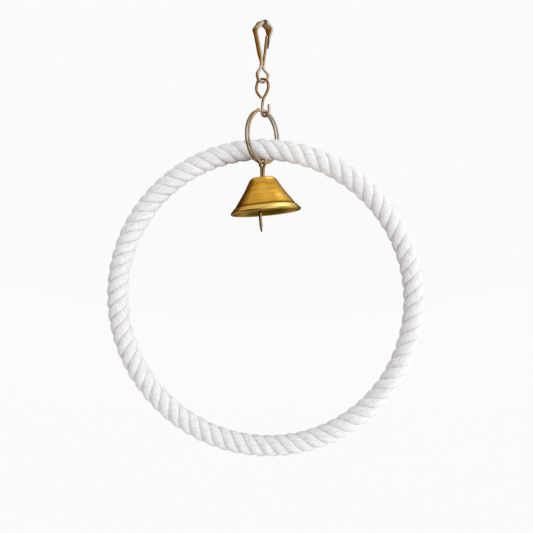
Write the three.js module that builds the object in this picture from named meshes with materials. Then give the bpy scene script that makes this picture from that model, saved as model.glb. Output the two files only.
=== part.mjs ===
// A swing for a cage bird: a ring of laid cotton rope under a snap clip, with a bell hung inside the ring.
// Sizes are in millimetres. X runs to the right of someone who faces the swing, Y away from them and Z up.
// The origin is the inside top of the clip's hook, where a cage bar carries the swing.
import * as THREE from 'three';

// Rope ring
const RING_OPENING = 203.2;
const ROPE_DIAMETER = 15.8;
const STRAND_COUNT = 3;
const LAY_TURNS = 25;
const OUT_OF_ROUND = 1.1;
const RING_SIDESTEP = 2.85;
const GROOVE_SHARE = 0.845;

// How far the lay runs ahead of an even one, in turns: all round, then by the cosine and sine of the angle
// round the ring and of its double
const LAY_START = -0.233;
const LAY_DRIFT = [[0.136, -0.075], [0.097, 0.012]];

// Snap clip: one strip, wide at the head and narrow at the eye
const CLIP_REACH = 42.6;
const CLIP_WIDTH = 15.0;
const CLIP_TURN = 40;
const STRIP_THICKNESS = 1.6;
const HEAD_STRIP_WIDTH = 6.0;
const LIMB_STRIP_WIDTH = 3.3;
const EYE_STRIP_WIDTH = 1.9;
const STRIP_BEVEL = 0.3;
const TIP_SHARE = 0.3;
const WAIST_RUN = 1.5;

// Link between the clip and the split ring
const LINK_REACH = 25.4;
const LINK_WIRE = 2.0;
const LINK_EYE_WIDTH = 11.2;
const LINK_TURN = -15;
const LINK_EYE_LENGTH = 14.4;
const LINK_TIP_RISE = 5.2;
const GRIP_SIDESTEP = 2.3;

// Split ring: flat wire in two turns
const SPLIT_RING_DIAMETER = 41.4;
const SPLIT_RING_TURN = 55.5;
const COIL_HEIGHT = 2.8;
const COIL_THICKNESS = 1.2;
const COIL_GAP = 0.45;
const COIL_BEVEL = 0.3;
const CRANK_ANGLE = -5;
const CRANK_SPAN = 26;
const END_LIFT = 1.2;
const END_SPAN = 14;
const GRIP_ANGLE = 11.5;

// Bell and its wire hanger
const BELL_MOUTH = 52.2;
const BELL_HEIGHT = 26.6;
const BELL_CROWN = 13.0;
const BELL_WALL = 0.9;
const BELL_LIP_HEIGHT = 5.0;
const LIP_STEP = 0.4;
const RIM_RADIUS = 1.2;
const BELL_TILT = 5.4;
const BELL_SIDESTEP = 0.1;
const HANGER_WIRE = 1.8;
const HANGER_DROP = 10.5;
const HANGER_TURN = -50;
const LEG_SPREAD = 2.9;

// Clapper
const CLAPPER_LENGTH = 34.4;
const CLAPPER_WIDTH = 2.6;
const CLAPPER_THICKNESS = 1.4;
const CLAPPER_RIM = 0.8;
const CLAPPER_LEAN = 8;
const CLAPPER_SIDESTEP = -0.5;

// Clearances
const SEAT_GAP = 0.3;
const STRAND_GAP = 0.5;
const WAIST_GAP = 0.5;
const EYE_GAP = 0.6;
const LOOP_GAP = 0.45;
const HOLE_GAP = 0.9;
const CLAPPER_PLAY = 0.75;

// Facets
const STEPS_PER_LAY = 10;
const STRAND_SIDES = 6;
const WIRE_SIDES = 8;
const BELL_FACETS = 52;

const UP = new THREE.Vector3(0, 0, 1);
const AWAY = new THREE.Vector3(0, 1, 0);

// A level direction, turned from +X towards +Y
function level(degrees) {
  const angle = THREE.MathUtils.degToRad(degrees);
  return new THREE.Vector3(Math.cos(angle), Math.sin(angle), 0);
}

// A point from an origin, so far along a level direction and so far up
function place(origin, direction, along, rise) {
  return origin.clone().addScaledVector(direction, along).addScaledVector(UP, rise);
}

// A solid that follows a row of centres, with its section set across the path at each one
function sweep(centres, acrossAt, sectionAt, closed) {
  const count = centres.length;
  const sides = sectionAt(0).length;
  const positions = [];
  const index = [];
  centres.forEach((centre, i) => {
    const before = centres[closed ? (i + count - 1) % count : Math.max(i - 1, 0)];
    const after = centres[closed ? (i + 1) % count : Math.min(i + 1, count - 1)];
    const along = after.clone().sub(before).normalize();
    const across = acrossAt(i).clone();
    across.addScaledVector(along, -across.dot(along)).normalize();
    const upward = along.clone().cross(across);
    for (const [a, b] of sectionAt(i)) {
      const point = centre.clone().addScaledVector(across, a).addScaledVector(upward, b);
      positions.push(point.x, point.y, point.z);
    }
  });
  for (let i = 0; i < (closed ? count : count - 1); i += 1) {
    const here = i * sides;
    const next = ((i + 1) % count) * sides;
    for (let j = 0; j < sides; j += 1) {
      const k = (j + 1) % sides;
      index.push(here + j, here + k, next + j, here + k, next + k, next + j);
    }
  }
  const last = (count - 1) * sides;
  for (let j = 1; j < sides - 1 && !closed; j += 1) {
    index.push(0, j + 1, j, last, last + j, last + j + 1);
  }
  const geometry = new THREE.BufferGeometry();
  geometry.setAttribute('position', new THREE.Float32BufferAttribute(positions, 3));
  geometry.setIndex(index);
  geometry.computeVertexNormals();
  return geometry;
}

// A round section with a number of sides
function round(radius, sides) {
  return Array.from({ length: sides }, (_, j) => {
    const angle = (2 * Math.PI * j) / sides;
    return [radius * Math.cos(angle), radius * Math.sin(angle)];
  });
}

// A flat section with bevelled corners
function flat(width, height, bevel) {
  const a = width / 2;
  const b = height / 2;
  return [
    [a, bevel - b], [a, b - bevel], [a - bevel, b], [bevel - a, b],
    [-a, b - bevel], [-a, bevel - b], [bevel - a, -b], [a - bevel, -b],
  ];
}

// Even steps along a smooth curve through a few points
function spaced(points, steps, closed = false) {
  const curve = new THREE.CatmullRomCurve3(points, closed, 'centripetal');
  const centres = curve.getSpacedPoints(steps);
  return closed ? centres.slice(0, -1) : centres;
}

function piece(name, geometry, color, roughness, metalness) {
  const mesh = new THREE.Mesh(geometry, new THREE.MeshStandardMaterial({ color, roughness, metalness }));
  mesh.name = name;
  return mesh;
}

const cotton = (name, geometry) => piece(name, geometry, 0xf1eeeb, 0.95, 0);
const plated = (name, geometry) => piece(name, geometry, 0xb8a080, 0.25, 1);
const brass = (name, geometry) => piece(name, geometry, 0xc8973f, 0.35, 1);

// Directions: the clip's plane, the split ring's plane, and square to the split ring
const clipRight = level(CLIP_TURN);
const clipFront = level(CLIP_TURN + 90);
const ringRight = level(SPLIT_RING_TURN);
const ringAxis = level(SPLIT_RING_TURN - 90);

// Clip: the strip's centreline in the clip's own plane, from its middle line
const limbOut = (CLIP_WIDTH - STRIP_THICKNESS) / 2;
const apexOut = -0.1 * limbOut;
const waistOut = (STRIP_THICKNESS + WAIST_GAP) / 2;
const waistRise = -0.72 * CLIP_REACH;
const clipMiddle = clipRight.clone().multiplyScalar(-apexOut);

function clipPoint([out, rise]) {
  return place(clipMiddle, clipRight, out, rise);
}

// The strip's width at a height: wide over the head, less along the limbs, least round the eye
function stripWidth(rise) {
  const toLimb = THREE.MathUtils.smoothstep(-rise, 0.12 * CLIP_REACH, 0.32 * CLIP_REACH);
  const toEye = THREE.MathUtils.smoothstep(-rise, 0.5 * CLIP_REACH, -waistRise);
  const limb = THREE.MathUtils.lerp(HEAD_STRIP_WIDTH, LIMB_STRIP_WIDTH, toLimb);
  return THREE.MathUtils.lerp(limb, EYE_STRIP_WIDTH, toEye);
}

// A strip along the clip's plane, drawn to a point over its first steps if it has a tip
function clipStrip(route, steps, tipSteps, widthAt) {
  const centres = spaced(route.map(clipPoint), steps);
  const sectionAt = (i) => {
    const taper = i < tipSteps ? THREE.MathUtils.lerp(TIP_SHARE, 1, i / tipSteps) : 1;
    const thickness = STRIP_THICKNESS * Math.max(taper, 0.5);
    return flat(taper * widthAt(centres[i].z), thickness, STRIP_BEVEL * thickness);
  };
  return sweep(centres, () => clipFront, sectionAt, false);
}

function clipBody() {
  const eyeBottom = -CLIP_REACH - STRIP_THICKNESS / 2;
  const route = [
    [0.85 * limbOut, -0.41 * CLIP_REACH],
    [0.84 * limbOut, -0.31 * CLIP_REACH],
    [1.02 * limbOut, -0.11 * CLIP_REACH],
    [0.98 * limbOut, -0.06 * CLIP_REACH],
    [0.45 * limbOut, 0],
    [apexOut, STRIP_THICKNESS / 2],
    [-0.55 * limbOut, -0.045 * CLIP_REACH],
    [-0.96 * limbOut, -0.125 * CLIP_REACH],
    [-0.8 * limbOut, -0.255 * CLIP_REACH],
    [-0.44 * limbOut, -0.48 * CLIP_REACH],
    [-waistOut, waistRise],
    [-0.7 * limbOut, -0.9 * CLIP_REACH],
    [-0.4 * limbOut, -CLIP_REACH],
    [0, eyeBottom],
    [0.5 * limbOut, -0.985 * CLIP_REACH],
    [0.84 * limbOut, -0.88 * CLIP_REACH],
    [waistOut, waistRise - WAIST_RUN],
    [waistOut, waistRise - SEAT_GAP / 2],
  ];
  return plated('clip_body', clipStrip(route, 84, 9, stripWidth));
}

// The gate springs out against the inside of the hook
function clipGate() {
  const restOut = 0.94 * limbOut - STRIP_THICKNESS - SEAT_GAP;
  const route = [
    [waistOut, waistRise + SEAT_GAP / 2],
    [waistOut, waistRise + WAIST_RUN],
    [0.25 * limbOut, -0.61 * CLIP_REACH],
    [0.42 * limbOut, -0.45 * CLIP_REACH],
    [restOut - 0.1 * limbOut, -0.29 * CLIP_REACH],
    [restOut, -0.2 * CLIP_REACH],
  ];
  return plated('clip_gate', clipStrip(route, 20, 0, () => EYE_STRIP_WIDTH));
}

// Link: its eye rides on the bar at the bottom of the clip's eye, and its hook holds the split ring
const coilPair = 2 * COIL_THICKNESS + COIL_GAP;
const coilCorner = Math.hypot(coilPair / 2, COIL_HEIGHT / 2 - COIL_BEVEL);
const gripRadius = coilCorner + SEAT_GAP;
const linkTop = EYE_GAP + LINK_WIRE / 2 - CLIP_REACH;
const gripRise = SEAT_GAP - CLIP_REACH - LINK_REACH + gripRadius;
const grip = place(clipMiddle, level(0), GRIP_SIDESTEP, gripRise);

function link() {
  const eyeOut = (LINK_EYE_WIDTH - LINK_WIRE) / 2;
  const hookOut = gripRadius + LINK_WIRE / 2;
  const eyeRight = level(LINK_TURN);
  const eyePoint = ([out, drop]) => {
    return place(clipMiddle, eyeRight, out * eyeOut, linkTop - drop * LINK_EYE_LENGTH);
  };
  const hookPoint = (degrees) => {
    const angle = THREE.MathUtils.degToRad(degrees);
    return place(grip, ringAxis, hookOut * Math.cos(angle), hookOut * Math.sin(angle));
  };
  const eye = [
    [-0.25, 0.95], [-0.95, 0.6], [-0.92, 0.27], [-0.56, 0.03], [0.05, 0], [0.66, 0.05],
    [1, 0.32], [0.86, 0.6], [0.48, 0.84], [0.2, 0.98],
  ];
  const hook = [180, 225, 270, 315, 360];
  const route = [
    ...eye.map(eyePoint),
    place(hookPoint(180), UP, 0.35 * LINK_TIP_RISE, 0),
    ...hook.map(hookPoint),
    place(hookPoint(360), UP, LINK_TIP_RISE, 0),
  ];
  const section = round(LINK_WIRE / 2, WIRE_SIDES);
  return plated('link', sweep(spaced(route, 72), () => AWAY, () => section, false));
}

// Split ring: two flat turns side by side, joined by one crank, and the second one's end stands off
const wireRadius = (SPLIT_RING_DIAMETER - COIL_HEIGHT) / 2;
const gripAngle = THREE.MathUtils.degToRad(GRIP_ANGLE);
const gripOut = wireRadius * Math.sin(gripAngle);
const ringCentre = place(grip, ringRight, -gripOut, -wireRadius * Math.cos(gripAngle));

function splitRingCentres() {
  const steps = 96;
  const pitch = COIL_THICKNESS + COIL_GAP;
  const first = CRANK_ANGLE + CRANK_SPAN / 2;
  const sweepAngle = 720 - CRANK_SPAN;
  return Array.from({ length: steps + 1 }, (_, i) => {
    const turned = (i / steps) * sweepAngle;
    const crossed = THREE.MathUtils.smoothstep(turned, 360 - CRANK_SPAN, 360);
    const angle = THREE.MathUtils.degToRad(first + turned);
    const lifted = THREE.MathUtils.smoothstep(turned, sweepAngle - END_SPAN, sweepAngle);
    const radius = wireRadius + END_LIFT * lifted;
    const onTurn = place(ringCentre, ringRight, radius * Math.sin(angle), radius * Math.cos(angle));
    return onTurn.addScaledVector(ringAxis, pitch * (crossed - 0.5));
  });
}

// The least gap between the two turns, measured on the centres of their sections
function leastCoilGap(centres) {
  const apart = Math.ceil(centres.length / 4);
  let least = Infinity;
  for (let i = 0; i < centres.length; i += 1) {
    for (let j = i + apart; j < centres.length; j += 1) {
      least = Math.min(least, centres[i].distanceTo(centres[j]) - COIL_THICKNESS);
    }
  }
  return least;
}

function splitRing() {
  const centres = splitRingCentres();
  console.log(`least gap between the split ring's turns: ${leastCoilGap(centres).toFixed(2)} mm`);
  const section = flat(COIL_THICKNESS, COIL_HEIGHT, COIL_BEVEL);
  return plated('split_ring', sweep(centres, () => ringAxis, () => section, false));
}

// Rope ring: the groove between two strands rests on the hanger's loop, over the bottom of the split ring
const ringBottom = place(ringCentre, UP, -wireRadius, 0);
const ropeRadius = ROPE_DIAMETER / 2;
const hoopRadius = RING_OPENING / 2 + ropeRadius;
const loopTop = COIL_HEIGHT / 2 + LOOP_GAP + HANGER_WIRE / 2;
const ropeTop = ringBottom.z + loopTop + HANGER_WIRE / 2 + SEAT_GAP + GROOVE_SHARE * ropeRadius;
const hoopCentre = new THREE.Vector3(RING_SIDESTEP, ringBottom.y, ropeTop - hoopRadius);

// The rope's middle at an angle from the top of the ring, towards +X, and the way out from the ring there
function hoopFrame(angle) {
  const outward = new THREE.Vector3(Math.sin(angle), 0, Math.cos(angle));
  const radius = hoopRadius - OUT_OF_ROUND * Math.sin(2 * angle);
  return { centre: hoopCentre.clone().addScaledVector(outward, radius), outward };
}

// Neighbouring strands are nearest along a slanting line, where the lay is tightest inside the ring
function strandSpacing(layRadius) {
  const lay = (2 * Math.PI * (hoopRadius - OUT_OF_ROUND - layRadius)) / LAY_TURNS;
  const apart = (2 * Math.PI) / STRAND_COUNT;
  let least = Infinity;
  for (let angle = 0; angle < apart; angle += apart / 120) {
    const rise = (lay * angle) / (2 * Math.PI);
    const chord = 2 * layRadius * Math.sin((apart - angle) / 2);
    least = Math.min(least, Math.hypot(rise, chord));
  }
  return least;
}

let strandRadius = ropeRadius / 3;
for (let round = 0; round < 12; round += 1) {
  strandRadius = (strandSpacing(ropeRadius - strandRadius) - STRAND_GAP) / 2;
}
const layRadius = ropeRadius - strandRadius;

// The turn of the lay at an angle round the ring, which isn't quite even
function layTurn(angle) {
  const ahead = LAY_DRIFT.reduce((sum, [cosine, sine], i) => {
    return sum + cosine * Math.cos((i + 1) * angle) + sine * Math.sin((i + 1) * angle);
  }, LAY_START);
  return LAY_TURNS * angle + 2 * Math.PI * ahead;
}

function strand(number) {
  const steps = LAY_TURNS * STEPS_PER_LAY;
  const frames = Array.from({ length: steps }, (_, i) => {
    const angle = (2 * Math.PI * i) / steps;
    const turn = layTurn(angle) + (2 * Math.PI * number) / STRAND_COUNT;
    const { centre, outward } = hoopFrame(angle);
    const aside = outward.multiplyScalar(Math.sin(turn)).addScaledVector(AWAY, Math.cos(turn));
    return { centre: centre.addScaledVector(aside, layRadius), aside };
  });
  const section = round(strandRadius, STRAND_SIDES);
  const solid = sweep(frames.map((frame) => frame.centre), (i) => frames[i].aside, () => section, true);
  return cotton(`strand_${number + 1}`, solid);
}

// Core hoop: the wire that keeps the ring round fills the middle of the lay
function coreHoop() {
  const steps = 90;
  const coreRadius = layRadius * Math.cos(Math.PI / STEPS_PER_LAY) - strandRadius - SEAT_GAP;
  const centres = Array.from({ length: steps }, (_, i) => hoopFrame((2 * Math.PI * i) / steps).centre);
  const section = round(coreRadius, 6);
  return piece('core_hoop', sweep(centres, () => AWAY, () => section, true), 0x8c8a86, 0.4, 1);
}

// Bell hanger: a wire loop over the split ring, drawn in through the bell's crown and spread under it
const hangerRight = level(HANGER_TURN);
const crown = place(ringBottom, UP, -HANGER_DROP, 0);
const legOut = LEG_SPREAD / 2;
const crownHole = legOut + HANGER_WIRE / 2 + HOLE_GAP;
const lowerOut = crownHole + HANGER_WIRE / 2;
const shoulderDrop = BELL_WALL + SEAT_GAP + HANGER_WIRE / 2;
const clapperHole = HANGER_WIRE / 2 + CLAPPER_PLAY;
const clapperHead = clapperHole + CLAPPER_RIM;
const hangerDepth = shoulderDrop + clapperHead + HANGER_WIRE / 2 + SEAT_GAP;
const clapperPivot = place(crown, hangerRight, CLAPPER_SIDESTEP, -hangerDepth);

function bellHanger() {
  const loopOut = gripRadius + HANGER_WIRE / 2;
  const half = [
    [0.85 * loopOut, HANGER_DROP + 0.85 * loopTop],
    [loopOut, HANGER_DROP],
    [0.88 * loopOut, 0.86 * HANGER_DROP],
    [1.15 * legOut, 0.7 * HANGER_DROP],
    [legOut, 0.45 * HANGER_DROP],
    [legOut, -shoulderDrop],
    [lowerOut, -0.7 * hangerDepth],
    [0.7 * lowerOut, -0.95 * hangerDepth],
  ];
  const left = half.map(([out, rise]) => place(crown, hangerRight, -out, rise)).reverse();
  const right = half.map(([out, rise]) => place(crown, hangerRight, out, rise));
  const top = place(crown, UP, HANGER_DROP + loopTop, 0);
  const route = [top, ...right, place(crown, UP, -hangerDepth, 0), ...left];
  const section = round(HANGER_WIRE / 2, WIRE_SIDES);
  return plated('bell_hanger', sweep(spaced(route, 64, true), () => ringRight, () => section, true));
}

// Bell: a spun shell with a flat crown, a flared skirt and a lip that stands proud of it
function bellProfile() {
  const crownOut = BELL_CROWN / 2;
  const mouthOut = BELL_MOUTH / 2;
  const lipDepth = BELL_HEIGHT - BELL_LIP_HEIGHT;
  const shoulder = new THREE.Vector2(crownOut + 0.225 * (mouthOut - crownOut), 0.14 * BELL_HEIGHT);
  const skirtEnd = new THREE.Vector2(0.87 * mouthOut, lipDepth);
  const skirt = [0.25, 0.5, 0.75, 1].map((share) => {
    const out = THREE.MathUtils.lerp(shoulder.x, skirtEnd.x, share ** 1.1);
    return new THREE.Vector2(out, THREE.MathUtils.lerp(shoulder.y, skirtEnd.y, share));
  });
  const turn = new THREE.Vector2(crownOut + 0.12 * (mouthOut - crownOut), 0);
  const bend = new THREE.QuadraticBezierCurve(new THREE.Vector2(crownOut, 0), turn, shoulder);
  const outside = [...bend.getPoints(4), ...skirt];
  const rimPoint = (degrees) => {
    const angle = THREE.MathUtils.degToRad(degrees);
    const middle = new THREE.Vector2(mouthOut - RIM_RADIUS, BELL_HEIGHT - RIM_RADIUS);
    return middle.add(new THREE.Vector2(Math.cos(angle), Math.sin(angle)).multiplyScalar(RIM_RADIUS));
  };
  const inside = outside.map((point) => point.clone().add(new THREE.Vector2(-BELL_WALL, BELL_WALL / 2)));
  inside[0].set(crownOut - BELL_WALL, BELL_WALL);
  inside.at(-1).y = lipDepth;
  return [
    new THREE.Vector2(crownHole, 0),
    ...outside,
    new THREE.Vector2(skirtEnd.x + LIP_STEP, lipDepth + LIP_STEP / 2),
    ...[-55, -10, 35, 80, 125].map(rimPoint),
    ...inside.reverse(),
    new THREE.Vector2(crownHole, BELL_WALL),
    new THREE.Vector2(crownHole, 0),
  ];
}

function bellShell() {
  const profile = bellProfile().map(({ x, y }) => new THREE.Vector2(x, -y)).reverse();
  const solid = new THREE.LatheGeometry(profile, BELL_FACETS);
  solid.rotateX(Math.PI / 2);
  solid.rotateY(THREE.MathUtils.degToRad(-BELL_TILT));
  solid.translate(crown.x + BELL_SIDESTEP, crown.y, crown.z);
  return brass('bell_shell', solid);
}

// Clapper: a flat bent tongue with an eye at its top and a point below the bell's mouth
function clapper() {
  const half = CLAPPER_WIDTH / 2;
  const neck = Math.asin((0.7 * half) / clapperHead) - Math.PI / 2;
  const outline = new THREE.Shape();
  const bend = (pullOut, pullDrop, out, drop) => {
    outline.quadraticCurveTo(pullOut * half, -pullDrop * CLAPPER_LENGTH, out * half, -drop * CLAPPER_LENGTH);
  };
  outline.absarc(0, 0, clapperHead, neck, Math.PI - neck);
  outline.lineTo(-0.73 * half, -0.5 * CLAPPER_LENGTH);
  bend(0.33, 0.87, 3.3, 1);
  bend(3.4, 0.865, 2.46, 0.767);
  bend(1.23, 0.63, 0.73, 0.5);
  const hole = new THREE.Path();
  hole.absarc(0, 0, clapperHole, 0, 2 * Math.PI);
  outline.holes.push(hole);
  const solid = new THREE.ExtrudeGeometry(outline, {
    depth: CLAPPER_THICKNESS, bevelEnabled: false, curveSegments: 8,
  });
  solid.translate(0, 0, -CLAPPER_THICKNESS / 2);
  solid.rotateZ(THREE.MathUtils.degToRad(-CLAPPER_LEAN));
  solid.applyMatrix4(new THREE.Matrix4().makeBasis(ringRight, UP, ringAxis).setPosition(clapperPivot));
  return plated('clapper', solid);
}

const swing = new THREE.Group();
swing.name = 'bird_ring_swing';
swing.add(clipBody(), clipGate(), link(), splitRing());
swing.add(coreHoop());
for (let number = 0; number < STRAND_COUNT; number += 1) {
  swing.add(strand(number));
}
swing.add(bellHanger(), bellShell(), clapper());

export default swing;
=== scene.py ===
# %% [markdown]
# # A rope ring swing for a cage bird
# The swing is a ring of laid cotton rope that hangs from a split ring, a wire link and a snap clip, with a small
# brass bell inside it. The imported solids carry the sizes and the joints. Here each piece gets its finer shape and
# its finish, in the same frame and in metres, so that nothing has to be fitted by eye.

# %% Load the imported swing
import math

import bpy
import numpy as np
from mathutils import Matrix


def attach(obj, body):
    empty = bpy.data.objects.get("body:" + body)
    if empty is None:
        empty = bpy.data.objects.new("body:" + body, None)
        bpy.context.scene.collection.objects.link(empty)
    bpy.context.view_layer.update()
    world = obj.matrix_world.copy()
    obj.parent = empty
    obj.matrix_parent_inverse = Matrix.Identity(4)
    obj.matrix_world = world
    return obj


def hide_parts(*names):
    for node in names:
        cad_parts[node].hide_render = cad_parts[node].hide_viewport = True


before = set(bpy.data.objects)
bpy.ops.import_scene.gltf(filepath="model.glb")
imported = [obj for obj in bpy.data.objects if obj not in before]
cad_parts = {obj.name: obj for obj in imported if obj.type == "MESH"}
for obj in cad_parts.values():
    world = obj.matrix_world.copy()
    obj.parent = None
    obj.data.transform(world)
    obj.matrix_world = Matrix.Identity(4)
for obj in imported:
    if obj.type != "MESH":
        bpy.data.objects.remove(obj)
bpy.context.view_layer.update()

# %% [markdown]
# ## Measures and directions
# The swing was drawn in millimetres, and Blender works in metres, so one factor turns the one into the other.
# Most fittings are bent in an upright plane, and such a plane is given by its level direction.

# %% Measures and directions
MM = 0.001
UP = np.array([0.0, 0.0, 1.0])
AWAY = np.array([0.0, 1.0, 0.0])


def level(degrees):
    """A level direction, turned from +X towards +Y."""
    return np.array([math.cos(math.radians(degrees)), math.sin(math.radians(degrees)), 0.0])


def upright(origin, direction, points):
    """Points of an upright plane, each given as (along the level direction, up) from an origin, in millimetres."""
    return np.array([origin + out * direction + rise * UP for out, rise in points])


CLIP_RIGHT, CLIP_FRONT = level(40), level(130)
RING_RIGHT, RING_AXIS = level(55.5), level(-34.5)
HANGER_RIGHT = level(-50)
print("clip plane", CLIP_RIGHT.round(3), "ring plane", RING_RIGHT.round(3))

# %% [markdown]
# ## The camera
# The picture was taken level with the middle of the rope ring, from about 0.7 m. A level camera keeps upright lines
# upright, so it isn't tilted towards the clip: the lens is shifted up instead, as on a view camera.

# %% The camera
ROPE_PLANE = -2.74
CAMERA_DISTANCE = 680
FRAME_WIDTH = 394.4
FRAME_MIDDLE = (3.63, -180.4)
EYE_HEIGHT = -203.1
SENSOR_WIDTH = 36

camera_data = bpy.data.cameras.new("camera")
camera_data.sensor_width = SENSOR_WIDTH
camera_data.lens = SENSOR_WIDTH * CAMERA_DISTANCE / FRAME_WIDTH
camera_data.shift_y = (FRAME_MIDDLE[1] - EYE_HEIGHT) / FRAME_WIDTH
camera = bpy.data.objects.new("camera", camera_data)
camera.location = (FRAME_MIDDLE[0] * MM, (ROPE_PLANE - CAMERA_DISTANCE) * MM, EYE_HEIGHT * MM)
camera.rotation_euler = (math.radians(90), 0, 0)
bpy.context.scene.collection.objects.link(camera)
bpy.context.scene.camera = camera
print(f"lens {camera_data.lens:.1f} mm, shift {camera_data.shift_y:.3f}")

# %% [markdown]
# ## Meshes from rings of points
# A bent wire, a bent strip and a strand of rope are all the same kind of mesh: a section that is repeated along a
# path, with quads between one section and the next. A curve with a bevel would do for plain wire, but the strip
# changes its width on its way and the strand its radius, so the rings of points are made with numpy.

# %% Meshes from rings of points
def mesh_object(name, points, faces):
    """A smooth-shaded object from points in millimetres."""
    mesh = bpy.data.meshes.new(name)
    mesh.from_pydata((np.asarray(points) * MM).tolist(), [], faces)
    mesh.shade_smooth()
    mesh.update()
    piece = bpy.data.objects.new(name, mesh)
    bpy.context.scene.collection.objects.link(piece)
    return piece


def ring_faces(count, sides, closed):
    """Quads between a row of rings, with a flat cap on each end of an open row."""
    faces = []
    for i in range(count if closed else count - 1):
        here, there = i * sides, ((i + 1) % count) * sides
        for j in range(sides):
            k = (j + 1) % sides
            faces.append((here + j, here + k, there + k, there + j))
    if not closed:
        last = (count - 1) * sides
        faces.append(tuple(range(sides - 1, -1, -1)))
        faces.append(tuple(range(last, last + sides)))
    return faces


print("a closed row of 8 rings of 6 points has", len(ring_faces(8, 6, True)), "quads")

# %% [markdown]
# ## Smooth paths
# The solids were bent along curves that pass through a few points. The same kind of curve is used here, with many
# more steps, so that the fine wire lies exactly where the plain one was.

# %% Smooth paths
SPAN_STEPS = 80


def smooth_path(points, count, closed=False):
    """Even steps along a smooth curve through the points, which doesn't swing out at tight bends."""
    points = np.asarray(points, float)
    if closed:
        row = np.vstack([points[-1], points, points[:2]])
    else:
        row = np.vstack([2 * points[0] - points[1], points, 2 * points[-1] - points[-2]])
    t = np.linspace(0, 1, SPAN_STEPS, endpoint=False)[:, None]
    fine = []
    for a, b, c, d in zip(row, row[1:], row[2:], row[3:]):
        ab, bc, cd = (max(np.linalg.norm(q - p), 1e-9) ** 0.5 for p, q in ((a, b), (b, c), (c, d)))
        leave = bc * ((b - a) / ab - (c - a) / (ab + bc) + (c - b) / bc)
        reach = bc * ((c - b) / bc - (d - b) / (bc + cd) + (d - c) / cd)
        cubic, square = 2 * (b - c) + leave + reach, 3 * (c - b) - 2 * leave - reach
        fine.append(((cubic * t + square) * t + leave) * t + b)
    fine = np.vstack(fine + [points[:1] if closed else points[-1:]])
    run = np.concatenate([[0], np.cumsum(np.linalg.norm(np.diff(fine, axis=0), axis=1))])
    steps = np.linspace(0, run[-1], count, endpoint=not closed)
    return np.stack([np.interp(steps, run, fine[:, k]) for k in range(3)], 1)


print("steps between two points of a path:", SPAN_STEPS)


# %% A section along a path
def sweep(name, centres, across, sections, closed=False):
    """A section, or one for each centre, set across a path; across is the way that its first axis points."""
    count = len(centres)
    if closed:
        along = np.roll(centres, -1, 0) - np.roll(centres, 1, 0)
    else:
        along = np.gradient(centres, axis=0)
    along /= np.linalg.norm(along, axis=1)[:, None]
    aside = np.broadcast_to(across, centres.shape)
    aside = aside - (aside * along).sum(1)[:, None] * along
    aside /= np.linalg.norm(aside, axis=1)[:, None]
    upward = np.cross(along, aside)
    sections = np.broadcast_to(sections, (count, *np.shape(sections)[-2:]))
    points = (centres[:, None] + sections[..., :1] * aside[:, None] + sections[..., 1:] * upward[:, None])
    return mesh_object(name, points.reshape(-1, 3), ring_faces(count, sections.shape[1], closed))


print("helpers:", mesh_object.__name__, smooth_path.__name__, sweep.__name__)

# %% [markdown]
# ## Sections
# Wire is round. The clip is bent from a flat strip, whose section is a rectangle with round corners, and the split
# ring from wire that was rolled flatter, whose section is an oval. A cut end of wire is filed round, which a
# few shrinking sections beyond the path's end give.

# %% Sections
def round_section(radius, sides=20):
    angles = np.linspace(0, 2 * math.pi, sides, endpoint=False)
    return radius * np.stack([np.cos(angles), np.sin(angles)], 1)


def flat_section(width, height, corner, per_corner=5):
    """A rectangle with round corners."""
    points = []
    for quarter, (sx, sy) in enumerate(((1, 1), (-1, 1), (-1, -1), (1, -1))):
        middle = np.array([sx * (width / 2 - corner), sy * (height / 2 - corner)])
        for step in np.linspace(0, math.pi / 2, per_corner):
            angle = quarter * math.pi / 2 + step
            points.append(middle + corner * np.array([math.cos(angle), math.sin(angle)]))
    return np.array(points)


def oval_section(width, height, power, sides=28):
    """An ellipse that goes towards a rectangle as the power grows."""
    circle = round_section(1, sides)
    return (width / 2, height / 2) * np.sign(circle) * np.abs(circle) ** (2 / power)


def with_round_ends(centres, sections, radius, steps=5):
    """Adds shrinking sections beyond both ends of a path."""
    sections = np.broadcast_to(sections, (len(centres), *np.shape(sections)[-2:]))
    angles = np.linspace(0, math.radians(80), steps + 1)[1:]
    for _ in range(2):
        beyond = centres[-1] - centres[-2]
        beyond = radius * beyond / np.linalg.norm(beyond)
        tip = np.array([centres[-1] + math.sin(a) * beyond for a in angles])
        shrunk = np.array([math.cos(a) * sections[-1] for a in angles])
        centres = np.vstack([centres, tip])[::-1]
        sections = np.concatenate([sections, shrunk])[::-1]
    return centres, sections


print("points in a section of wire:", len(round_section(1)), "and of strip:", len(flat_section(4, 2, 0.5)))

# %% [markdown]
# ## Node trees
# Every finish is a node tree round a Principled shader. It could be drawn by hand in the shader editor. Here a
# short helper adds a node, sets its values and joins its sockets, and a few more stand for the nodes that come
# again and again, so that each finish below reads as a list of what it is made of.

# %% Nodes and finishes
def add(tree, kind, settings=None, **sockets):
    """Adds a node. Each socket, by its name with _ for spaces or as i and its number, gets a value or an output."""
    node = tree.nodes.new(kind)
    for key, value in (settings or {}).items():
        setattr(node, key, value)
    for key, value in sockets.items():
        numbered = key[0] == "i" and key[1:].isdigit()
        socket = node.inputs[int(key[1:]) if numbered else key.replace("_", " ")]
        if isinstance(value, bpy.types.NodeSocket):
            tree.links.new(value, socket)
        else:
            socket.default_value = value
    return node


def new_finish(name, **sockets):
    """A material with a bare Principled shader, and its tree and shader."""
    material = bpy.data.materials.new(name)
    material.use_nodes = True
    shader = material.node_tree.nodes["Principled BSDF"]
    for key, value in sockets.items():
        shader.inputs[key.replace("_", " ")].default_value = value
    return material, material.node_tree, shader


print("helpers:", add.__name__, new_finish.__name__)


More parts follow.
